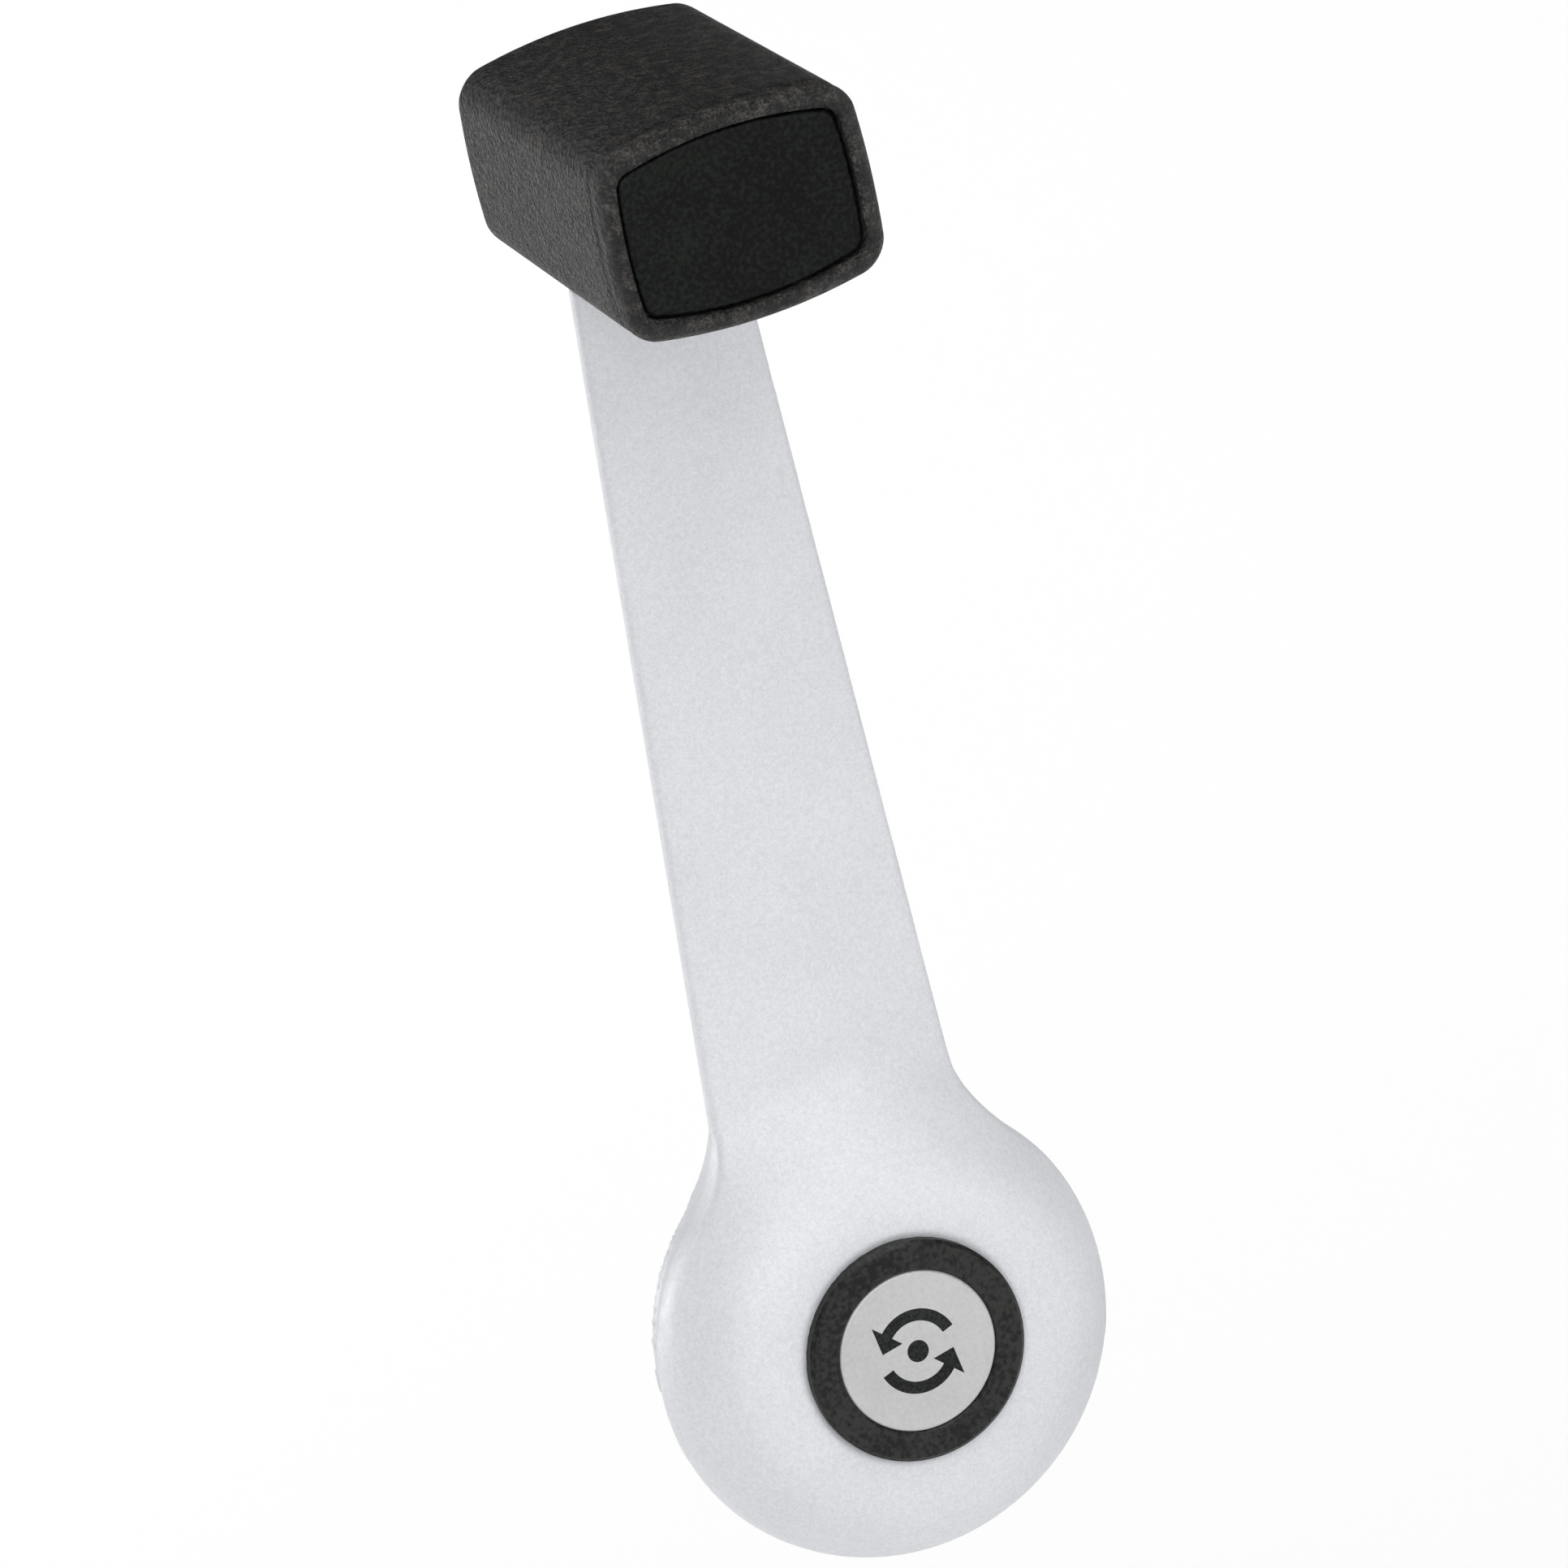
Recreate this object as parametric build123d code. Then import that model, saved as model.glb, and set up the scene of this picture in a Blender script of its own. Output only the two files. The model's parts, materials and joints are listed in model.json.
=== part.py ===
from build123d import *
import math
import os

# Window winder crank: a cast lever that clamps on a serrated regulator spindle,
# a snap-in cap over its fixing screw, a captive rosette that runs on the door
# trim, and a block knob that spins freely on a shouldered pin.
#
# The pieces are drawn in a working frame: spindle along Z with the user at +Z,
# arm along +Y, door trim in the plane Z = 0. save() turns them into the part's
# own frame: arm up along +Z, user at -Y, origin on the spindle axis in the
# plane of the door trim.

os.makedirs("parts", exist_ok=True)

# ---------------------------------------------------------------- dimensions
ARM_LEN = 113.2        # spindle axis to knob axis
HUB_R = 20.8           # widest radius of the hub
RIM_Z = 12.0           # height of the hub's widest edge above the trim
BAND_H = 1.0           # plain upright band under that edge
ARM_W0 = 12.32         # arm half width, extrapolated back to the spindle axis
ARM_TAPER = 0.0444     # half width lost per mm of length
ARM_BIAS = 0.0105      # sideways lean of the arm's centre line
ARM_RISE = 0.03        # climb of the arm's edges towards the knob
NECK_R = 3.5           # plan fillet where the arm runs into the hub
BACK_Z = 5.6           # back face of the arm
DRAFT = 20.0           # draft of the flanks below the band, degrees
CROWN_R = 36.0         # radius of the crowned front of the arm
DOME_TOP = 20.1        # plateau of the hub dome
DOME_LAND_R = 11.2     # radius of that plateau
BOSS_R = 12.0          # back boss that carries the rosette

SEAT_Z = 8.8           # knob seat on the arm's tongue
SEAT_R = 14.0          # relief round the turning knob
TIP_BOSS_R = 6.0
TIP_BOSS_Z = 4.2

CAP_R = 10.0           # hub cap
CAP_TOP = 20.6
CAP_SEAT_Z = 19.3      # floor of the shallow recess that takes the cap's flange
CHAMBER_R = 8.1        # well that takes the screw head and the cap's skirt
WELL_Z = 12.1
DISC_R = 7.3

INSERT_AF = 13.5       # hexagonal insert, across flats
SERR_R = 5.0           # serrated bore, major radius
SERR_DEPTH = 0.45
SERR_N = 24
WEB_Z = 9.6            # underside of the insert's web

SCREW_R = 2.5
SCREW_LEN = 8.0

PIN_R = 3.0            # journal of the knob pin
KNOB_BASE = 9.6
KNOB_TOP = 46.6
BASE_X, BASE_Y = 11.64, 7.74   # half sizes of the block at its base, corner to corner
TOP_X, TOP_Y = 12.16, 8.35     # and at its outer end
SIDE_CROWN = 1.45      # bulge of the two broad sides
END_CROWN = 0.40       # bulge of the two narrow sides
KNOB_CORNER = 2.4
SKIN = 1.75            # wall of the grip sleeve
PANEL_DROP = 0.4       # depth of the end panel below the rim
PANEL_T = 1.8


# ---------------------------------------------------------------- helpers
def cyl(r, z0, z1, x=0.0, y=0.0):
    return Pos(x, y, (z0 + z1) / 2) * Cylinder(r, z1 - z0)


def ring(r_out, r_in, z0, z1, x=0.0, y=0.0):
    return cyl(r_out, z0, z1, x, y) - cyl(r_in, z0 - 1, z1 + 1, x, y)


def box(x0, x1, y0, y1, z0, z1):
    return Pos((x0 + x1) / 2, (y0 + y1) / 2, (z0 + z1) / 2) * Box(
        x1 - x0, y1 - y0, z1 - z0
    )


def lathe(points, y=0.0):
    """Solid of revolution about a line parallel to Z, from (radius, z) points."""
    face = make_face(Polyline(*[(r, 0, z) for r, z in points], close=True))
    return Pos(0, y, 0) * revolve(face, Axis.Z, 360)


def save(shape, name):
    placed = Rot(90, 0, 0) * shape
    export_step(placed, f"parts/{name}.step")
    print(f"{name:16s} solids {len(placed.solids())} volume {placed.volume:9.1f}")


def lever_plan(r_hub, w0, taper, neck, lean=ARM_BIAS):
    """Outline of hub, blade and rounded tip. Half width of the blade is w0 - taper*y."""
    tip = (w0 - taper * ARM_LEN) * math.cos(math.atan(taper))
    a = math.atan(taper)
    cx = lean * ARM_LEN
    tx, ty = tip * math.cos(a), ARM_LEN + tip * math.sin(a)
    y0 = 5.0
    blade = Polygon(
        (-(w0 - taper * y0) + lean * y0, y0),
        ((w0 - taper * y0) + lean * y0, y0),
        (cx + tx, ty),
        (cx - tx, ty),
        align=None,
    )
    plan = Circle(r_hub) + blade + Pos(cx, ARM_LEN) * Circle(tip)
    corners = [
        v for v in plan.vertices() if 8 < v.Y < 30 and abs(math.hypot(v.X, v.Y) - r_hub) < 0.05
    ]
    return fillet(corners, neck)


# ---------------------------------------------------------------- crank arm
tan_draft = math.tan(math.radians(DRAFT))
edge_plan = lever_plan(HUB_R, ARM_W0, ARM_TAPER, NECK_R)
band_low0 = RIM_Z - BAND_H - 20.0 * ARM_RISE      # lower line of the band, at Y = 0
back_plan = lever_plan(
    HUB_R - (RIM_Z - BAND_H - BACK_Z) * tan_draft,
    ARM_W0 - (band_low0 - BACK_Z) * tan_draft,
    ARM_TAPER + ARM_RISE * tan_draft,
    NECK_R + 2.0,
)
prism = extrude(Pos(0, 0, BACK_Z) * edge_plan, 18)
# the drafted flanks stop where they are clear of the band all round; a taller
# one would use up the neck's fillet
flank_h = 10.0
flanks = extrude(Pos(0, 0, BACK_Z) * back_plan, flank_h, taper=-DRAFT)
above = extrude(Pos(0, 0, BACK_Z + flank_h) * edge_plan, 18 - flank_h)


def edge_z(y):
    return RIM_Z + (y - 20.0) * ARM_RISE


def sagitta(y):
    return (ARM_W0 - ARM_TAPER * y) ** 2 / (2 * CROWN_R)


ya, yb = 20.0, 100.0
za, zb = edge_z(ya) + sagitta(ya), edge_z(yb) + sagitta(yb)
climb = (zb - za) / (yb - ya)
crown = (
    Pos(0, 0, za - climb * ya)
    * Rot(math.degrees(math.atan(climb)), 0, 0)
    * Pos(0, 66, -CROWN_R)
    * Rot(90, 0, 0)
    * Cylinder(CROWN_R, 140)
)
dome = revolve(
    make_face(
        [
            Line((0, 0, 4), (0, 0, DOME_TOP)),
            Line((0, 0, DOME_TOP), (DOME_LAND_R, 0, DOME_TOP)),
            ThreePointArc(
                (DOME_LAND_R, 0, DOME_TOP), (17.1, 0, 17.5), (HUB_R, 0, RIM_Z)
            ),
            Line((HUB_R, 0, RIM_Z), (HUB_R, 0, 4)),
            Line((HUB_R, 0, 4), (0, 0, 4)),
        ]
    ),
    Axis.Z,
    360,
)
blade_top = crown & box(-16, 16, 0, 130, 0, 30)
arm = ((prism & flanks) + above) & (dome + blade_top)

hub_back_r = HUB_R - (RIM_Z - BAND_H - BACK_Z) * tan_draft
boss = lathe(
    [
        (0, 0.4), (BOSS_R - 0.4, 0.4), (BOSS_R, 0.8), (BOSS_R, 1.3), (11.2, 1.3),
        (11.2, 2.5), (BOSS_R, 2.5), (BOSS_R, 3.3), (15.4, 3.3),
        (hub_back_r, BACK_Z), (hub_back_r, BACK_Z + 0.5), (0, BACK_Z + 0.5),
    ]
)
tip_boss = cyl(TIP_BOSS_R, TIP_BOSS_Z, SEAT_Z, 0, ARM_LEN)
tip_boss = chamfer(tip_boss.edges().group_by(Axis.Z)[0], 0.6)
arm = arm + boss + tip_boss
# relief and flat seat for the turning knob
arm = arm - cyl(SEAT_R, SEAT_Z, 30, 0, ARM_LEN)
# well for the screw and the cap, broached hexagon for the insert
arm = arm - cyl(CHAMBER_R, WELL_Z, 25) - cyl(CAP_R + 0.15, CAP_SEAT_Z, 25)
arm = arm - cyl(CHAMBER_R + 0.45, 14.8, 16.6)
hexagon = RegularPolygon(INSERT_AF / 2, 6, major_radius=False)
arm = arm - extrude(Pos(0, 0, -1) * hexagon, WELL_Z + 2)
# pin hole and the counterbore for its riveted head
arm = arm - cyl(2.25, 0, 20, 0, ARM_LEN) - cyl(3.6, 3, TIP_BOSS_Z + 1.4, 0, ARM_LEN)
# three cored pockets in the back of the arm, with ribs between
for p0, p1 in ((27.0, 48.5), (50.5, 72.0), (74.0, 95.5)):
    pts = []
    for y, s in ((p0, -1), (p0, 1), (p1, 1), (p1, -1)):
        w = ARM_W0 - (band_low0 - BACK_Z) * tan_draft - (ARM_TAPER + ARM_RISE * tan_draft) * y
        pts.append((s * (w - 1.7) + ARM_BIAS * y, y))
    pocket = Polygon(*pts, align=None)
    pocket = fillet(pocket.vertices(), 1.5)
    arm = arm - extrude(Pos(0, 0, BACK_Z - 1) * pocket, 4.4)
save(arm, "crank_arm")

# ---------------------------------------------------------------- hub hardware
# hardened insert: hexagon outside, serrated bore for the spindle, web for the screw
teeth = []
for i in range(SERR_N):
    a0 = 2 * math.pi * i / SERR_N
    a1 = a0 + math.pi / SERR_N
    teeth.append((SERR_R * math.cos(a0), SERR_R * math.sin(a0)))
    r1 = SERR_R - SERR_DEPTH
    teeth.append((r1 * math.cos(a1), r1 * math.sin(a1)))
serration = make_face(Polyline(*teeth, close=True))
insert = extrude(Pos(0, 0, 0.8) * hexagon, WELL_Z - 0.8)
insert = insert - extrude(Pos(0, 0, 0) * serration, WEB_Z) - cyl(2.8, 5, 20)
insert = insert - lathe([(0, 0), (5.9, 0), (5.9, 0.8), (4.5, 2.2), (0, 2.2)])
save(insert, "spline_insert")

save(ring(7.7, 2.75, WELL_Z, WELL_Z + 1.0), "flat_washer")

split = ring(4.6, 2.75, WELL_Z + 1.0, WELL_Z + 2.2)
cut = Pos(3.7, 0, WELL_Z + 1.6) * Rot(35, 0, 0) * Box(4, 0.5, 4)
save(split - cut, "spring_washer")

head_z = WELL_Z + 2.2
screw = lathe(
    [
        (0, head_z - SCREW_LEN), (SCREW_R - 0.6, head_z - SCREW_LEN),
        (SCREW_R, head_z - SCREW_LEN + 0.6), (SCREW_R, head_z), (4.75, head_z),
        (4.75, head_z + 1.3), (4.1, head_z + 2.3), (2.6, head_z + 2.9), (0, head_z + 3.0),
    ]
)
for a in (0, 90):
    screw = screw - Pos(0, 0, head_z + 2.2) * Rot(0, 0, a) * Box(4.6, 0.9, 2.6)
save(screw, "fixing_screw")

# cap: flange in the dome's recess, skirt with four snap legs in the well, tray for the disc
cap = lathe(
    [
        (0, 18.4), (6.6, 18.4), (6.6, 14.4), (7.75, 14.4), (8.4, 15.8), (8.4, 16.2),
        (7.95, 16.6), (7.95, CAP_SEAT_Z), (CAP_R, CAP_SEAT_Z), (CAP_R, CAP_TOP - 0.35),
        (CAP_R - 0.35, CAP_TOP), (DISC_R + 0.15, CAP_TOP), (DISC_R, CAP_TOP - 0.15),
        (DISC_R, 19.7), (0, 19.7),
    ]
)
for a in range(0, 180, 45):
    cap = cap - Pos(0, 0, 16.2) * Rot(0, 0, a + 22.5) * Box(20, 1.6, 4.4)
save(cap, "hub_cap")

disc = cyl(DISC_R - 0.03, 19.7, CAP_TOP - 0.1)
disc = fillet(disc.edges().group_by(Axis.Z)[-1], 0.25)
mark_depth = 0.2


def turn_arrow(start):
    """One of two curved arrows that chase each other: turn to wind."""
    r, t, sweep = 3.3, 0.55, 118.0
    pts = []
    n = 24
    for i in range(n + 1):
        a = math.radians(start + sweep * i / n)
        pts.append(((r + t) * math.cos(a), (r + t) * math.sin(a)))
    a = math.radians(start + sweep)
    tip = math.radians(start + sweep + 30)
    pts.append(((r + 3 * t) * math.cos(a), (r + 3 * t) * math.sin(a)))
    pts.append((r * math.cos(tip), r * math.sin(tip)))
    pts.append(((r - 3 * t) * math.cos(a), (r - 3 * t) * math.sin(a)))
    for i in range(n, -1, -1):
        a = math.radians(start + sweep * i / n)
        pts.append(((r - t) * math.cos(a), (r - t) * math.sin(a)))
    return make_face(Polyline(*pts, close=True))


disc_top = CAP_TOP - 0.1
mark = [
    extrude(Pos(0, 0, disc_top - mark_depth) * turn_arrow(s), mark_depth)
    for s in (20, 200)
]
mark.append(cyl(1.0, disc_top - mark_depth, disc_top))
for m in mark:
    disc = disc - m
save(disc, "cap_disc")
save(Compound(children=[s for m in mark for s in m.solids()]), "turn_mark")

# rosette: slides round the boss and is kept by its lip in the boss's groove
rosette = lathe(
    [
        (12.3, 0), (14.6, 0), (15.2, 0.6), (15.2, 1.8), (14.6, 2.9), (12.3, 2.9),
        (12.3, 2.2), (11.5, 2.2), (11.5, 1.6), (12.3, 1.6),
    ]
)
for a in range(0, 360, 60):
    rosette = rosette - Rot(0, 0, a + 30) * box(10, 13.6, -0.5, 0.5, -1, 4)
save(rosette, "trim_rosette")


# ---------------------------------------------------------------- knob
def block_section(z, shrink=0.0):
    """Section of the block knob at height z, moved in by shrink."""
    f = (z - KNOB_BASE) / (KNOB_TOP - KNOB_BASE)
    hx = BASE_X + (TOP_X - BASE_X) * f - shrink
    hy = BASE_Y + (TOP_Y - BASE_Y) * f - shrink
    edges = [
        ThreePointArc((-hx, -hy), (0, -hy - SIDE_CROWN), (hx, -hy)),
        ThreePointArc((hx, -hy), (hx + END_CROWN, 0), (hx, hy)),
        ThreePointArc((hx, hy), (0, hy + SIDE_CROWN), (-hx, hy)),
        ThreePointArc((-hx, hy), (-hx - END_CROWN, 0), (-hx, -hy)),
    ]
    face = make_face(edges)
    face = fillet(face.vertices(), max(KNOB_CORNER - shrink * 0.8, 0.8))
    return Pos(0, ARM_LEN, z) * face


def block(z0, z1, shrink=0.0):
    return loft([block_section(z0, shrink), block_section(z1, shrink)], ruled=True)


panel_top = KNOB_TOP - PANEL_DROP
panel_low = panel_top - PANEL_T
outer = block(KNOB_BASE, KNOB_TOP)
outer = fillet(outer.edges().group_by(Axis.Z)[0], 1.2)
outer = fillet(outer.edges().group_by(Axis.Z)[-1], 0.9)
floor_z = KNOB_BASE + 1.8
grip = outer - block(floor_z, KNOB_TOP + 2, SKIN)
grip = grip - cyl(6.4, 5, 20, 0, ARM_LEN)
save(grip, "knob_grip")

# core: fills the sleeve, hollow but for the bearing tube and four webs
core = block(floor_z, panel_low, SKIN + 0.1)
core = core - block(floor_z + 1.6, panel_low + 2, SKIN + 1.3)
tube_top = panel_low - 5.0
core = core + cyl(5.6, KNOB_BASE - 0.1, tube_top, 0, ARM_LEN)
# the webs end well inside the core's wall, over its whole taper
webs = box(-9.4, 9.4, ARM_LEN - 0.6, ARM_LEN + 0.6, floor_z + 1.0, tube_top - 1.5) + box(
    -0.6, 0.6, ARM_LEN - 6.85, ARM_LEN + 6.85, floor_z + 1.0, tube_top - 1.5
)
core = core + webs
core = core - cyl(3.4, 5, 50, 0, ARM_LEN) - cyl(5.5, tube_top, 50, 0, ARM_LEN)
BUSH_R = 4.3
core = core - cyl(BUSH_R, 5, KNOB_BASE + 7, 0, ARM_LEN) - cyl(BUSH_R, tube_top - 7, 50, 0, ARM_LEN)
save(core, "knob_core")


def bush(z0, z1):
    return ring(BUSH_R, PIN_R + 0.06, z0, z1, 0, ARM_LEN)


save(bush(KNOB_BASE - 0.1, KNOB_BASE + 7), "rear_bush")
save(bush(tube_top - 7, tube_top), "front_bush")

panel = block(panel_low, panel_top, SKIN + 0.22)
panel = fillet(panel.edges().group_by(Axis.Z)[-1], 0.35)
save(panel, "knob_end_cap")

# pin: riveted through the tongue, shoulder on the seat, journal, groove for the clip
groove_z = tube_top + 1.3
pin = lathe(
    [
        (0, TIP_BOSS_Z + 0.1), (2.9, TIP_BOSS_Z + 0.1), (3.4, TIP_BOSS_Z + 0.6),
        (3.4, TIP_BOSS_Z + 1.4), (2.25, TIP_BOSS_Z + 1.4), (2.25, SEAT_Z),
        (PIN_R, SEAT_Z), (PIN_R, groove_z), (2.3, groove_z), (2.3, groove_z + 0.8),
        (PIN_R, groove_z + 0.8), (PIN_R, groove_z + 1.6), (2.5, groove_z + 2.1),
        (0, groove_z + 2.1),
    ],
    ARM_LEN,
)
save(pin, "knob_pin")
save(ring(6.0, PIN_R + 0.05, SEAT_Z, SEAT_Z + 0.5, 0, ARM_LEN), "thrust_washer")

# wave washer under a plain washer and the clip
wave = ring(4.9, PIN_R + 0.1, tube_top + 0.2, tube_top + 0.6, 0, ARM_LEN)
save(wave, "wave_washer")
save(ring(5.0, PIN_R + 0.05, tube_top + 0.6, groove_z, 0, ARM_LEN), "clip_washer")
clip = ring(4.7, 2.3, groove_z, groove_z + 0.8, 0, ARM_LEN)
clip = clip - box(-1.7, 1.7, ARM_LEN, ARM_LEN + 8, 0, 60)
save(clip, "retaining_clip")
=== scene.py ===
import bpy
import json
import math
import numpy as np
from mathutils import Matrix, Vector


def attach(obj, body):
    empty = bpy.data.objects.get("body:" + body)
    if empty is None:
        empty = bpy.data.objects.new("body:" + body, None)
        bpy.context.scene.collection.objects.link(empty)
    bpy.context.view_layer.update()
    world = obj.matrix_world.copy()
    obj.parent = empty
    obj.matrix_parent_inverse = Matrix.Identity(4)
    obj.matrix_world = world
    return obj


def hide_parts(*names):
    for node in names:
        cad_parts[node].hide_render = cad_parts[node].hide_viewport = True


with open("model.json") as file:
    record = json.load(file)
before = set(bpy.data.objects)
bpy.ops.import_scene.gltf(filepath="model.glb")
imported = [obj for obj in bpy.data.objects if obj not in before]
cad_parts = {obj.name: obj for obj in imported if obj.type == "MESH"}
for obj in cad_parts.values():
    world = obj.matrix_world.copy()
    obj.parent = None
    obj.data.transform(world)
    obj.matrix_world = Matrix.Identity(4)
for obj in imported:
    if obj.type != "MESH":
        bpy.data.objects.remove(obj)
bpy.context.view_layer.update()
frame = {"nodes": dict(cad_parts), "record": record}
MM = 0.001

# Working coordinates are millimetres with the spindle along Z, the user at +Z
# and the arm along +Y. row() turns them into the row frame, in metres.

# ---------------------------------------------------------------- sizes (mm)
ARM_LEN = 113.2
HUB_R = 20.8
RIM_Z = 12.0
BAND_H = 1.0
ARM_W0 = 12.32
ARM_TAPER = 0.0444
ARM_BIAS = 0.0105
ARM_RISE = 0.03
BACK_Z = 5.6
DRAFT = math.tan(math.radians(20.0))
CROWN_R = 36.0
DOME_TOP = 20.1
DOME_LAND_R = 11.2
NECK_R = 3.5
SEAT_Z = 8.8
SEAT_R = 14.0
TIP_BOSS_R, TIP_BOSS_Z = 6.0, 4.2
CAP_R, CAP_SEAT_Z, CAP_TOP, DISC_R = 10.0, 19.3, 20.6, 7.3
KNOB_BASE, KNOB_TOP = 9.6, 46.6
BASE_X, BASE_Y = 11.64, 7.74
TOP_X, TOP_Y = 12.16, 8.35
SIDE_CROWN, END_CROWN = 1.45, 0.40
CORNER = 2.4
SKIN = 1.75
PANEL_TOP, PANEL_LOW = KNOB_TOP - 0.4, KNOB_TOP - 2.2


def row(p):
    p = np.asarray(p, float).reshape(-1, 3)
    return np.stack([p[:, 0], -p[:, 2], p[:, 1]], 1) * MM


def mesh_object(name, points, faces, material, body, replaces=(), tris=None):
    """A smooth-shaded piece from millimetre points in working coordinates."""
    me = bpy.data.meshes.new(name)
    faces = np.asarray(faces)
    me.vertices.add(len(points))
    me.vertices.foreach_set("co", row(points).astype(np.float32).ravel())
    corners = [faces.astype(np.int32).ravel()]
    starts = [np.arange(len(faces), dtype=np.int32) * faces.shape[1]]
    if tris is not None:
        corners.append(tris.astype(np.int32).ravel())
        starts.append(faces.size + np.arange(len(tris), dtype=np.int32) * 3)
    corners, starts = np.concatenate(corners), np.concatenate(starts)
    me.loops.add(len(corners))
    me.loops.foreach_set("vertex_index", corners)
    me.polygons.add(len(starts))
    me.polygons.foreach_set("loop_start", starts)
    me.update(calc_edges=True)
    me.validate()
    me.polygons.foreach_set("use_smooth", np.ones(len(me.polygons), bool))
    me.materials.append(material)
    o = bpy.data.objects.new(name, me)
    bpy.context.collection.objects.link(o)
    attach(o, body)
    if replaces:
        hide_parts(*replaces)
    return o


# ---------------------------------------------------------------- solid fields
def r_union(a, b, r):
    """Union with a round fillet of radius r in the inside corner."""
    return np.maximum(r, np.minimum(a, b)) - np.hypot(np.maximum(r - a, 0), np.maximum(r - b, 0))


def r_inter(a, b, r):
    """Intersection with the outside corner rounded to radius r."""
    return np.minimum(-r, np.maximum(a, b)) + np.hypot(np.maximum(r + a, 0), np.maximum(r + b, 0))


def surface_net(f, lo, hi, h, relax=3):
    """Quad mesh of f = 0: dual vertices on a grid of pitch h, evened out and then moved onto the exact surface."""
    lo = np.array(lo, float)
    n = np.ceil((np.array(hi, float) - lo) / h).astype(int) + 1
    xs, ys, zs = (lo[i] + h * np.arange(n[i]) for i in range(3))
    yy, zz = np.meshgrid(ys, zs, indexing="ij")
    v = np.empty(n)
    for i, x in enumerate(xs):
        v[i] = f(np.full_like(yy, x), yy, zz)
    inside = v < 0
    cells = n - 1
    total = np.zeros((int(np.prod(cells)), 3))
    count = np.zeros(int(np.prod(cells)))
    edges = []
    for a in range(3):
        b, c = (a + 1) % 3, (a + 2) % 3
        s0 = [slice(None)] * 3
        s1 = [slice(None)] * 3
        s0[a], s1[a] = slice(0, -1), slice(1, None)
        hit = np.argwhere(inside[tuple(s0)] != inside[tuple(s1)])
        keep = (hit[:, b] > 0) & (hit[:, b] < n[b] - 1) & (hit[:, c] > 0) & (hit[:, c] < n[c] - 1)
        hit = hit[keep]
        far = hit.copy()
        far[:, a] += 1
        v0, v1 = v[tuple(hit.T)], v[tuple(far.T)]
        p = lo + h * hit
        p[:, a] += h * v0 / (v0 - v1)
        quad = []
        for db, dc in ((-1, -1), (0, -1), (0, 0), (-1, 0)):
            cell = hit.copy()
            cell[:, b] += db
            cell[:, c] += dc
            flat = np.ravel_multi_index(tuple(cell.T), tuple(cells))
            for k in range(3):
                np.add.at(total[:, k], flat, p[:, k])
            np.add.at(count, flat, 1)
            quad.append(flat)
        quad = np.stack(quad, 1)
        flip = v0 > 0
        quad[flip] = quad[flip][:, ::-1]
        edges.append(quad)
    used = np.flatnonzero(count)
    index = np.full(len(count), -1)
    index[used] = np.arange(len(used))
    points = total[used] / count[used][:, None]
    faces = index[np.concatenate(edges)]

    def project(p, steps):
        e = 0.01
        for _ in range(steps):
            x, y, z = p.T
            d = f(x, y, z)
            g = np.stack(
                [
                    f(x + e, y, z) - f(x - e, y, z),
                    f(x, y + e, z) - f(x, y - e, z),
                    f(x, y, z + e) - f(x, y, z - e),
                ],
                1,
            ) / (2 * e)
            move = -d[:, None] * g / np.maximum((g * g).sum(1), 0.05)[:, None]
            size = np.linalg.norm(move, axis=1)
            move *= np.minimum(1, 0.6 * h / np.maximum(size, 1e-9))[:, None]
            p = p + move
        return p

    ring = np.concatenate([faces[:, [i, (i + 1) % 4]] for i in range(4)])
    ends = np.concatenate([ring, ring[:, ::-1]])
    degree = np.bincount(ends[:, 0], minlength=len(points))[:, None]
    points = project(points, 2)
    for _ in range(relax):
        near = np.stack(
            [np.bincount(ends[:, 0], points[ends[:, 1], k], minlength=len(points)) for k in range(3)], 1
        ) / degree
        points = project(points + 0.5 * (near - points), 1)
    return project(points, 2), faces


def tapered_bar(x, y, r1, r2, length):
    """Distance to the outline round two circles and their outer tangents."""
    px = np.abs(x)
    b = (r1 - r2) / length
    a = math.sqrt(1 - b * b)
    k = -b * px + a * y
    return np.where(
        k < 0,
        np.hypot(px, y) - r1,
        np.where(k > a * length, np.hypot(px, y - length) - r2, px * a + y * b - r1),
    )


HEX = [(math.cos(math.radians(t)), math.sin(math.radians(t))) for t in (30, 90, 150)]
# the dome's shoulder is an arc through three points of its profile
_p = [(DOME_LAND_R, DOME_TOP), (17.1, 17.5), (HUB_R, RIM_Z)]
_m = np.array([[2 * (_p[i][0] - _p[0][0]), 2 * (_p[i][1] - _p[0][1])] for i in (1, 2)])
_v = np.array([_p[i][0] ** 2 + _p[i][1] ** 2 - _p[0][0] ** 2 - _p[0][1] ** 2 for i in (1, 2)])
DOME_CR, DOME_CZ = np.linalg.solve(_m, _v)
DOME_CA = math.hypot(_p[0][0] - DOME_CR, _p[0][1] - DOME_CZ)


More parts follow.
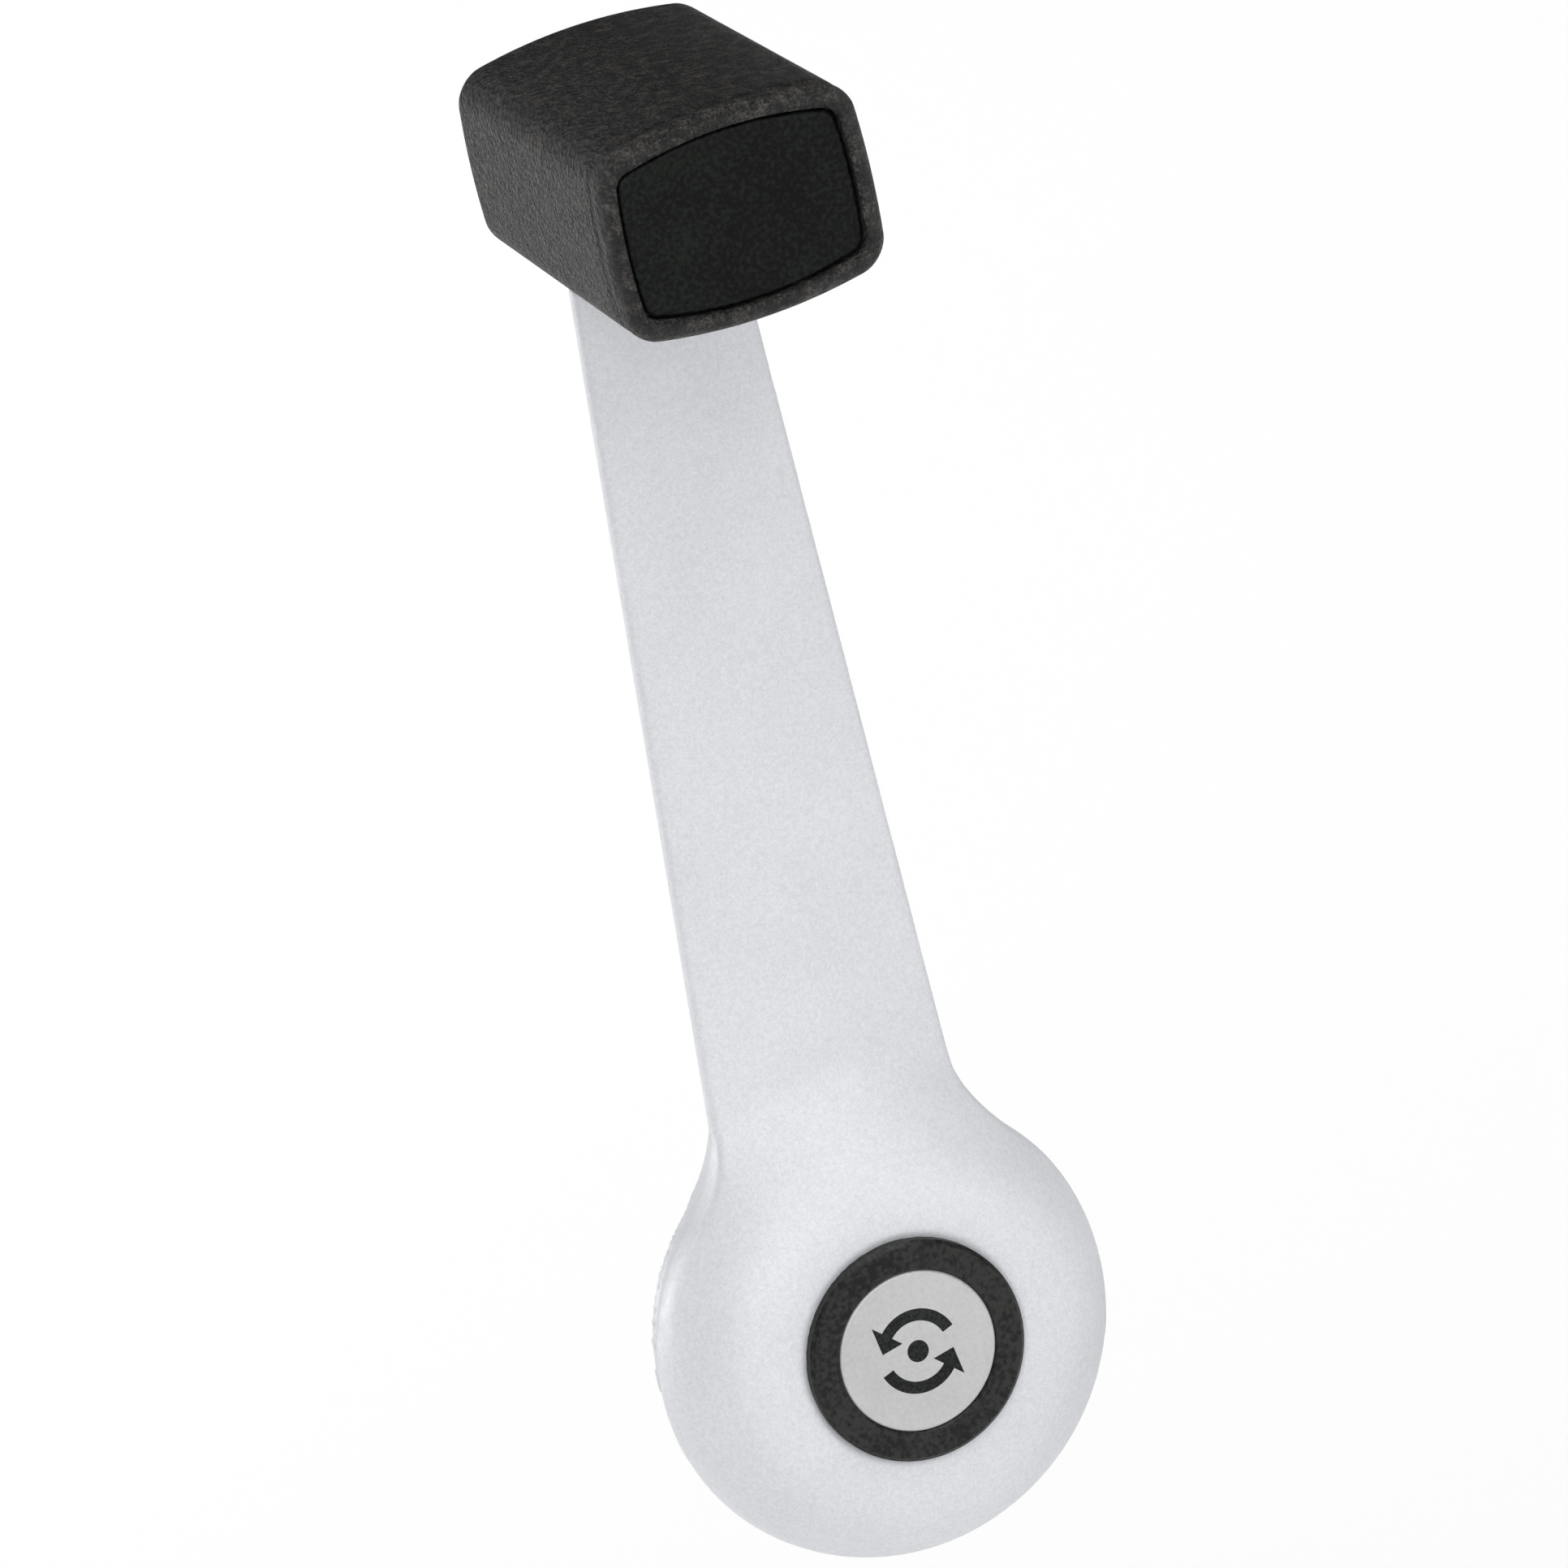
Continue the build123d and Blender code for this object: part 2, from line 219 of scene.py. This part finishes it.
def lever(x, y, z):
    """The cast lever: negative inside."""
    t = math.atan(ARM_BIAS)
    xr, yr = x * math.cos(t) - y * math.sin(t), y * math.cos(t) + x * math.sin(t)
    half = ARM_W0 - ARM_TAPER * y
    r = np.hypot(x, y)
    rk = np.hypot(x, y - ARM_LEN)
    length = ARM_LEN / math.cos(t)
    ca = math.cos(math.atan(ARM_TAPER))
    bar = tapered_bar(xr, yr, ARM_W0 * ca, (ARM_W0 - ARM_TAPER * ARM_LEN) * ca, length)
    plan = r_union(r - HUB_R + 0.02, bar, NECK_R)
    rise = ARM_RISE * np.maximum(y - 20, 0)
    below = np.maximum(RIM_Z - BAND_H + rise - z, 0)
    flank = (plan + below * DRAFT) * np.where(below > 0, 0.94, 1.0)
    crown = (z - (RIM_Z + rise + (half ** 2 - xr ** 2) / (2 * CROWN_R))) * 0.97
    shoulder = np.hypot(r - DOME_CR, z - DOME_CZ) - DOME_CA
    shoulder = np.where((r > DOME_CR) & (z > DOME_CZ), shoulder, np.where(z > DOME_CZ, z - DOME_CZ - DOME_CA, r - DOME_CR - DOME_CA))
    dome = r_inter(shoulder, z - DOME_TOP, 2.0)
    dome = np.maximum(dome, r - HUB_R - 0.6)
    top = r_union(dome, np.maximum(crown, -y - 2), 5.0)
    d = r_inter(flank, top, 0.6)
    d = r_inter(d, BACK_Z - z, 0.9)
    back_r = HUB_R - (RIM_Z - BAND_H - BACK_Z) * DRAFT
    slope = math.hypot(BACK_Z - 3.3, back_r - 15.4)
    cone = ((r - 15.4) * (BACK_Z - 3.3) - (z - 3.3) * (back_r - 15.4)) / slope
    cone = r_inter(np.maximum(cone, z - BACK_Z - 0.6), 3.3 - z, 0.4)
    d = r_union(d, cone, 0.5)
    boss = np.maximum(r_inter(r - 12.0, 0.4 - z, 0.4), z - 6)
    d = r_union(d, boss, 0.3)
    d = np.maximum(d, -np.maximum(11.2 - r, np.abs(z - 1.9) - 0.6))
    tip = np.maximum(r_inter(rk - TIP_BOSS_R, TIP_BOSS_Z - z, 0.7), z - SEAT_Z - 1)
    d = r_union(d, tip, 1.0)
    d = r_inter(d, -r_inter(rk - SEAT_R, SEAT_Z - z, 1.0), 0.5)
    d = r_inter(d, -np.maximum(r - CAP_R - 0.15, CAP_SEAT_Z - z), 0.2)
    d = r_inter(d, -np.maximum(r - 8.1, 12.1 - z), 0.15)
    hexagon = np.max([np.abs(x * c + y * s) for c, s in HEX], 0) - 6.78
    d = np.maximum(d, -np.maximum(hexagon, z - 12.6))
    d = r_inter(d, -np.minimum(rk - 2.3, np.maximum(rk - 3.6, z - TIP_BOSS_Z - 1.4)), 0.15)
    low = ARM_W0 - (RIM_Z - BAND_H - 20 * ARM_RISE - BACK_Z) * DRAFT - (ARM_TAPER + ARM_RISE * DRAFT) * y
    for p0, p1 in ((27.0, 48.5), (50.5, 72.0), (74.0, 95.5)):
        well = r_inter(np.abs(xr) - (low - 1.7), np.abs(y - (p0 + p1) / 2) - (p1 - p0) / 2, 1.5)
        d = r_inter(d, -r_inter(well, z - BACK_Z - 3.4, 1.0), 0.45)
    return d


# ---------------------------------------------------------------- lofted sections
N_LONG, N_SHORT, N_CORNER = 26, 16, 9


def section(hx, hy, rc, long_crown=SIDE_CROWN, short_crown=END_CROWN):
    """Closed ring round a block with crowned sides: half sizes at the corners, corner radius."""
    pts = []
    for q in range(4):
        a0 = math.pi / 2 * q
        sx, sy = ((1, 1), (-1, 1), (-1, -1), (1, -1))[q]
        cx, cy = sx * (hx - rc), sy * (hy - rc)
        for i in range(N_CORNER + 1):
            a = a0 + math.pi / 2 * i / N_CORNER
            pts.append((cx + rc * math.cos(a), cy + rc * math.sin(a)))
        if q % 2 == 0:
            for i in range(1, N_LONG):
                pts.append((sx * (hx - rc) * (1 - 2 * i / N_LONG), sy * hy))
        else:
            for i in range(1, N_SHORT):
                pts.append((sx * hx, sy * (hy - rc) * (1 - 2 * i / N_SHORT)))
    p = np.array(pts)
    u, w = p[:, 0] / hx, p[:, 1] / hy
    p[:, 1] += long_crown * (1 - np.clip(u * u, 0, 1)) * w
    p[:, 0] += short_crown * (1 - np.clip(w * w, 0, 1)) * u
    return p


def knob_ring(z, inset, rc=None):
    f = (z - KNOB_BASE) / (KNOB_TOP - KNOB_BASE)
    hx = BASE_X + (TOP_X - BASE_X) * f - inset
    hy = BASE_Y + (TOP_Y - BASE_Y) * f - inset
    rc = max(CORNER - inset * 0.8, 0.8) if rc is None else rc
    p = section(hx, hy, rc)
    return np.column_stack([p[:, 0], p[:, 1] + ARM_LEN, np.full(len(p), z)])


def circle_like(ring_pts, radius, z, y=ARM_LEN):
    a = np.unwrap(np.arctan2(ring_pts[:, 1] - y, ring_pts[:, 0]))
    return np.column_stack([radius * np.cos(a), y + radius * np.sin(a), np.full(len(a), z)])


def loft(rings, closed=False):
    """Quads between rings of equal length; closed joins the last ring to the first, otherwise both ends are open."""
    n = len(rings[0])
    pts = np.concatenate(rings)
    k = np.arange(n)
    k1 = (k + 1) % n
    quads = []
    m = len(rings)
    for i in range(m if closed else m - 1):
        a, b = i * n, ((i + 1) % m) * n
        quads.append(np.stack([a + k, a + k1, b + k1, b + k], 1))
    return pts, np.concatenate(quads)


def arc_steps(n):
    return [math.pi / 2 * i / n for i in range(n + 1)]


def grip_rings():
    rb, rt, ri = 1.2, 1.2, 0.35
    floor_z = KNOB_BASE + 1.8
    base = knob_ring(KNOB_BASE, rb)
    rings = [circle_like(base, 6.4, floor_z), circle_like(base, 6.4, KNOB_BASE + 0.4), circle_like(base, 6.55, KNOB_BASE + 0.1), circle_like(base, 6.8, KNOB_BASE)]
    for t in (0.3, 0.65, 0.92):
        rings.append(circle_like(base, 6.8, KNOB_BASE) * (1 - t) + base * t)
    for a in arc_steps(7):
        rings.append(knob_ring(KNOB_BASE + rb * (1 - math.cos(a)), rb * (1 - math.sin(a))))
    z0, z1 = KNOB_BASE + rb, KNOB_TOP - rt
    furrow = KNOB_TOP - 2.3
    for z in [z0 + (z1 - z0) * i / 26 for i in range(1, 25)] + [furrow + d for d in (-1.2, -0.9, -0.6, -0.3, 0.0, 0.3, 0.6, 0.9)]:
        rings.append(knob_ring(z, 0.16 * math.exp(-((z - furrow) / 0.48) ** 2)))
    for a in arc_steps(6):
        rings.append(knob_ring(KNOB_TOP - rt * (1 - math.sin(a)), rt * (1 - math.cos(a))))
    for a in arc_steps(5):
        rings.append(knob_ring(KNOB_TOP - ri * (1 - math.cos(a)), SKIN - ri + ri * math.sin(a)))
    for z in (PANEL_TOP - 0.3, PANEL_TOP - 1.0, PANEL_LOW, 38.0, 30.0, 20.0, floor_z):
        rings.append(knob_ring(z, SKIN))
    inner = rings[-1]
    for t in (0.5,):
        rings.append(inner * (1 - t) + circle_like(base, 6.4, floor_z) * t)
    return rings


def panel_mesh():
    """The end panel: rounded front edge, and faces closed by rings that shrink to a centre point."""
    gap, re = SKIN + 0.22, 0.35
    crown = 0.12
    rings = [knob_ring(PANEL_LOW, gap + 0.15), knob_ring(PANEL_LOW + 0.15, gap), knob_ring(PANEL_LOW + 0.6, gap)]
    for a in arc_steps(5):
        rings.append(knob_ring(PANEL_TOP - crown - re * (1 - math.sin(a)), gap + re * (1 - math.cos(a))))
    edge = rings[-1]
    back = rings[0]
    front_c = np.array([0.0, ARM_LEN, PANEL_TOP])
    back_c = np.array([0.0, ARM_LEN, PANEL_LOW])
    for t in (0.955, 0.88, 0.78, 0.66, 0.54, 0.42, 0.3, 0.18, 0.08):
        r = front_c + (edge - front_c) * t
        r[:, 2] = PANEL_TOP - crown * t * t
        rings.append(r)
    for t in (0.75, 0.5, 0.25, 0.08):
        rings.insert(0, back_c + (back - back_c) * t)
    pts, quads = loft(rings)
    n = len(edge)
    k = np.arange(n)
    last = len(pts) - n
    pts = np.concatenate([pts, [back_c, front_c]])
    low, high = len(pts) - 2, len(pts) - 1
    tris = np.concatenate(
        [np.stack([(k + 1) % n, k, np.full(n, low)], 1), np.stack([last + k, last + (k + 1) % n, np.full(n, high)], 1)]
    )
    return pts, quads, tris


# ---------------------------------------------------------------- materials
class Nodes:
    def __init__(self, name):
        self.m = bpy.data.materials.new(name)
        self.m.use_nodes = True
        self.t = self.m.node_tree
        self.b = self.t.nodes["Principled BSDF"]
        self.co = self.add("ShaderNodeTexCoord").outputs["Object"]

    def add(self, kind, **props):
        n = self.t.nodes.new(kind)
        for k, v in props.items():
            setattr(n, k, v)
        return n

    def link(self, a, b):
        self.t.links.new(a, b)

    def noise(self, scale, detail=3.0, rough=0.55, stretch=None):
        n = self.add("ShaderNodeTexNoise")
        n.inputs["Scale"].default_value = scale
        n.inputs["Detail"].default_value = detail
        n.inputs["Roughness"].default_value = rough
        src = self.co
        if stretch:
            m = self.add("ShaderNodeMapping")
            m.inputs["Scale"].default_value = stretch
            self.link(src, m.inputs["Vector"])
            src = m.outputs["Vector"]
        self.link(src, n.inputs["Vector"])
        return n.outputs["Fac"]

    def cells(self, scale, feature="F1", smooth=None):
        n = self.add("ShaderNodeTexVoronoi", feature=feature)
        n.inputs["Scale"].default_value = scale
        self.link(self.co, n.inputs["Vector"])
        return n.outputs["Distance"]

    def ramp(self, fac, stops):
        n = self.add("ShaderNodeValToRGB")
        while len(n.color_ramp.elements) < len(stops):
            n.color_ramp.elements.new(0.5)
        for e, (p, c) in zip(n.color_ramp.elements, stops):
            e.position = p
            e.color = (*c, 1) if len(c) == 3 else c
        self.link(fac, n.inputs["Fac"])
        return n.outputs["Color"]

    def span(self, fac, lo, hi, a=0.0, b=1.0):
        n = self.add("ShaderNodeMapRange")
        n.inputs["From Min"].default_value, n.inputs["From Max"].default_value = a, b
        n.inputs["To Min"].default_value, n.inputs["To Max"].default_value = lo, hi
        self.link(fac, n.inputs["Value"])
        return n.outputs["Result"]

    def math(self, op, a, b):
        n = self.add("ShaderNodeMath", operation=op)
        for s, v in zip(n.inputs, (a, b)):
            if isinstance(v, (int, float)):
                s.default_value = v
            else:
                self.link(v, s)
        return n.outputs[0]

    def bump(self, height, strength, distance, after=None):
        n = self.add("ShaderNodeBump")
        n.inputs["Strength"].default_value = strength
        n.inputs["Distance"].default_value = distance
        self.link(height, n.inputs["Height"])
        if after is not None:
            self.link(after, n.inputs["Normal"])
        return n.outputs["Normal"]

    def set(self, **v):
        for k, x in v.items():
            s = self.b.inputs[k.replace("_", " ")]
            if isinstance(x, (int, float)):
                s.default_value = x
            elif isinstance(x, tuple):
                s.default_value = (*x, 1)
            else:
                self.link(x, s)


def silver_lacquer():
    """Satin silver lacquer on a casting: fine flake, a soft cloudiness and a little peel."""
    n = Nodes("arm_silver")
    flake = n.noise(5200, 2.0, 0.7)
    fleck = n.noise(2300, 2.0, 0.5)
    cloud = n.noise(70, 3.0, 0.5)
    mix = n.math("ADD", n.math("MULTIPLY", flake, 0.5), n.math("ADD", n.math("MULTIPLY", fleck, 0.3), n.math("MULTIPLY", cloud, 0.2)))
    n.set(Base_Color=n.ramp(mix, [(0.38, (0.588, 0.600, 0.625)), (0.62, (0.712, 0.721, 0.748))]))
    n.set(Roughness=n.span(n.noise(420, 3), 0.50, 0.62, 0.3, 0.7), Metallic=0.18)
    n.set(Normal=n.bump(n.noise(1000, 2.0, 0.5), 0.2, 0.00004))
    return n.m


def grained_black():
    """Grained soft-touch black, with the front rim painted paler: a painted highlight on the rim edge together with
    rubbed wear.
    """
    n = Nodes("grip_black")
    grain = n.cells(1900)
    fine = n.noise(4200, 3.0, 0.7)
    blotch = n.noise(800, 3.0, 0.6)
    h = n.math("ADD", n.math("MULTIPLY", grain, 0.8), n.math("MULTIPLY", fine, 0.6))
    tone = n.math("ADD", n.math("MULTIPLY", fine, 0.6), n.math("MULTIPLY", blotch, 0.4))
    base = n.ramp(tone, [(0.43, (0.0010, 0.0010, 0.0010)), (0.51, (0.0048, 0.0044, 0.0040)), (0.60, (0.052, 0.046, 0.041))])
    # paler tone for the front rim: a painted highlight as well as rubbed wear
    rim_sheen_and_wear_tone = n.ramp(tone, [(0.42, (0.0100, 0.0098, 0.0095)), (0.51, (0.030, 0.0288, 0.0276)), (0.61, (0.095, 0.090, 0.085))])
    sep = n.add("ShaderNodeSeparateXYZ")
    n.link(n.co, sep.inputs[0])
    depth = n.math("MULTIPLY", sep.outputs["Y"], -1.0)
    # painted highlight and wear: a band at the front rim, picked out by depth along Y and broken up by noise, is mixed
    # toward the paler tone
    rim_sheen_and_wear = n.math("MULTIPLY", n.span(depth, 0.0, 1.0, 0.0447, 0.0460), n.span(n.noise(380, 3.0, 0.6), 0.55, 1.0, 0.36, 0.64))
    mix = n.add("ShaderNodeMix", data_type="RGBA")
    n.link(rim_sheen_and_wear, mix.inputs["Factor"])
    n.link(base, mix.inputs["A"])
    n.link(rim_sheen_and_wear_tone, mix.inputs["B"])
    n.link(mix.outputs["Result"], n.b.inputs["Base Color"])
    n.set(Roughness=n.span(fine, 0.34, 0.72, 0.40, 0.60), Specular_IOR_Level=0.34)
    n.set(Normal=n.bump(h, 1.0, 0.00065))
    return n.m


def smooth_black(name, col, rough, fine=3500, bump=0.12, spec=0.5):
    n = Nodes(name)
    n.set(Specular_IOR_Level=spec)
    f = n.noise(fine, 2.0, 0.5)
    broad = n.noise(140, 3.0, 0.55)
    lo, hi = tuple(c * 0.3 for c in col), tuple(c * 2.0 for c in col)
    n.set(Base_Color=n.ramp(n.math("ADD", n.math("MULTIPLY", f, 0.7), n.math("MULTIPLY", broad, 0.3)), [(0.42, lo), (0.58, hi)]))
    n.set(Roughness=n.span(broad, rough - 0.06, rough + 0.06, 0.3, 0.7))
    n.set(Normal=n.bump(f, bump, 0.00004))
    return n.m


def metal(name, col, rough, metallic=1.0, scale=1800, stretch=None, bump=0.15):
    n = Nodes(name)
    f = n.noise(scale, 3.0, 0.6, stretch)
    broad = n.noise(120, 3.0, 0.5)
    lo, hi = tuple(c * 0.88 for c in col), tuple(min(c * 1.1, 1) for c in col)
    n.set(Base_Color=n.ramp(n.math("ADD", n.math("MULTIPLY", f, 0.6), n.math("MULTIPLY", broad, 0.4)), [(0.3, lo), (0.7, hi)]))
    n.set(Roughness=n.span(f, rough - 0.07, rough + 0.07, 0.3, 0.7), Metallic=metallic)
    n.set(Normal=n.bump(f, bump, 0.00003))
    return n.m


MATS = {
    "arm_silver": silver_lacquer(),
    "grip_black": grained_black(),
    "panel_black": smooth_black("panel_black", (0.0040, 0.0052, 0.0042), 0.44, 2300, 0.5, 0.12),
    "cap_black": smooth_black("cap_black", (0.0105, 0.0112, 0.0102), 0.42, 2300, 0.5, 0.24),
    "core_black": smooth_black("core_black", (0.035, 0.035, 0.035), 0.5),
    "rosette_grey": smooth_black("rosette_grey", (0.085, 0.085, 0.087), 0.45),
    "mark_black": smooth_black("mark_black", (0.0080, 0.0095, 0.0088), 0.4, 3500, 0.12, 0.2),
    "nylon_natural": smooth_black("nylon_natural", (0.72, 0.69, 0.62), 0.45),
    "disc_silver": metal("disc_silver", (0.50, 0.50, 0.505), 0.40, 0.35, 2400),
    "hardened_steel": metal("hardened_steel", (0.16, 0.155, 0.15), 0.45),
    "zinc_steel": metal("zinc_steel", (0.62, 0.63, 0.64), 0.32),
    "spring_steel": metal("spring_steel", (0.22, 0.22, 0.235), 0.35),
    "bronze": metal("bronze", (0.55, 0.36, 0.17), 0.42),
}
SLOT_OF = {s["node"]: s["material_slot"] for s in frame["record"]["subparts"]}
BODY_OF = {n: b for b, ns in frame["record"]["behaviour"]["bodies"].items() for n in ns}
for name, o in frame["nodes"].items():
    o.data.materials.clear()
    o.data.materials.append(MATS[SLOT_OF[name]])

# ---------------------------------------------------------------- pieces
pts, faces = surface_net(lever, (-21.4, -21.4, 0.0), (21.4, 121.6, 21.0), 0.4)
# the thin lip round the boss is only two cells deep, so its points go onto the true circle
rad = np.hypot(pts[:, 0], pts[:, 1])
lip = (rad > 11.45) & (rad < 12.4) & (pts[:, 2] < 1.25)
want = np.where(pts[:, 2] < 0.56, 11.82, 11.97)
pts[lip, :2] *= (want[lip] / rad[lip])[:, None]

mesh_object("cast_lever", pts, faces, MATS["arm_silver"], "crank", ["crank_arm"])

pts, faces = loft(grip_rings(), closed=True)
mesh_object("grip_sleeve", pts, faces, MATS["grip_black"], "knob", ["knob_grip"])

pts, faces, tris = panel_mesh()
mesh_object("end_panel", pts, faces, MATS["panel_black"], "knob", ["knob_end_cap"], tris)

# ---------------------------------------------------------------- camera
PX_PER_MM = 14.0988


def turn_matrix(v):
    """Rotation matrix of a rotation vector."""
    v = np.array(v)
    a = np.linalg.norm(v)
    k = v / a
    c = np.array([[0, -k[2], k[1]], [k[2], 0, -k[0]], [-k[1], k[0], 0]])
    return np.eye(3) + math.sin(a) * c + (1 - math.cos(a)) * (c @ c)


# columns: where the working X, Y and Z axes point in the picture (right, down, away)
seen = turn_matrix((-2.7932, 0.3910, -0.4693))
axes = np.stack([seen[:, 0], -seen[:, 2], seen[:, 1]], 1)  # the row frame's X, Y and Z
right, down, fwd = (Vector(axes[i]) for i in range(3))
anchor = Vector((0.0, -RIM_Z * MM, 0.0))
target = anchor + right * ((966 - 1088.8) / PX_PER_MM * MM) + down * ((966 - 1636.4) / PX_PER_MM * MM)
cam_data = bpy.data.cameras.new("camera")
cam_data.lens, cam_data.sensor_width = 1500.0, 36.0
dist = 1932 / PX_PER_MM * MM * cam_data.lens / cam_data.sensor_width
cam_data.clip_start, cam_data.clip_end = 0.5, 100.0
cam = bpy.data.objects.new("camera", cam_data)
bpy.context.collection.objects.link(cam)
cam.matrix_world = Matrix.Translation(target - fwd * dist) @ Matrix(
    [[right[i], -down[i], -fwd[i]] for i in range(3)]
).to_4x4()
bpy.context.scene.camera = cam


# ---------------------------------------------------------------- light and floor
def area(name, loc, size, power, aim=(0, -0.02, 0.06), col=(1, 1, 1)):
    d = bpy.data.lights.new(name, "AREA")
    d.shape, d.size, d.energy, d.color = "SQUARE", size, power, col
    o = bpy.data.objects.new(name, d)
    o.location = loc
    o.rotation_mode = "QUATERNION"
    o.rotation_quaternion = (Vector(aim) - Vector(loc)).to_track_quat("-Z", "Y")
    bpy.context.collection.objects.link(o)
    return o


def sun(name, toward, energy, angle):
    d = bpy.data.lights.new(name, "SUN")
    d.energy, d.angle = energy, math.radians(angle)
    o = bpy.data.objects.new(name, d)
    o.rotation_mode = "QUATERNION"
    o.rotation_quaternion = (-Vector(toward)).to_track_quat("-Z", "Y")
    bpy.context.collection.objects.link(o)
    return o


sun("front_panel", (-0.12, -0.94, 0.34), 2.30, 80)
sun("overhead_panel", (0.10, -0.10, 0.98), 2.05, 50)
area("left_panel", (-1.15, 1.05, -0.02), 0.9, 17.0)
w = bpy.data.worlds.new("world")
bpy.context.scene.world = w
w.use_nodes = True
w.node_tree.nodes["Background"].inputs[0].default_value = (1, 1, 1, 1)
# the backdrop looks white, and lights the object only gently
path = w.node_tree.nodes.new("ShaderNodeLightPath")
glow = w.node_tree.nodes.new("ShaderNodeMapRange")
glow.inputs["To Min"].default_value, glow.inputs["To Max"].default_value = 0.07, 1.0
w.node_tree.links.new(path.outputs["Is Camera Ray"], glow.inputs["Value"])
w.node_tree.links.new(glow.outputs["Result"], w.node_tree.nodes["Background"].inputs[1])

me = bpy.data.meshes.new("floor")
me.from_pydata([(-8, -8, -0.09), (8, -8, -0.09), (8, 8, -0.09), (-8, 8, -0.09)], [], [(0, 1, 2, 3)])
floor = bpy.data.objects.new("floor", me)
bpy.context.collection.objects.link(floor)
fm = Nodes("floor")
fm.set(Base_Color=fm.ramp(fm.noise(3, 2), [(0.3, (0.955, 0.955, 0.955)), (0.7, (0.965, 0.965, 0.965))]), Roughness=0.95)
# seen from below, the floor is clear
side = fm.add("ShaderNodeNewGeometry")
clear = fm.add("ShaderNodeBsdfTransparent")
either = fm.add("ShaderNodeMixShader")
fm.link(side.outputs["Backfacing"], either.inputs[0])
fm.link(fm.b.outputs["BSDF"], either.inputs[1])
fm.link(clear.outputs["BSDF"], either.inputs[2])
fm.link(either.outputs["Shader"], next(x for x in fm.t.nodes if x.type == "OUTPUT_MATERIAL").inputs["Surface"])
me.materials.append(fm.m)
bpy.context.scene.view_settings.view_transform = "Standard"
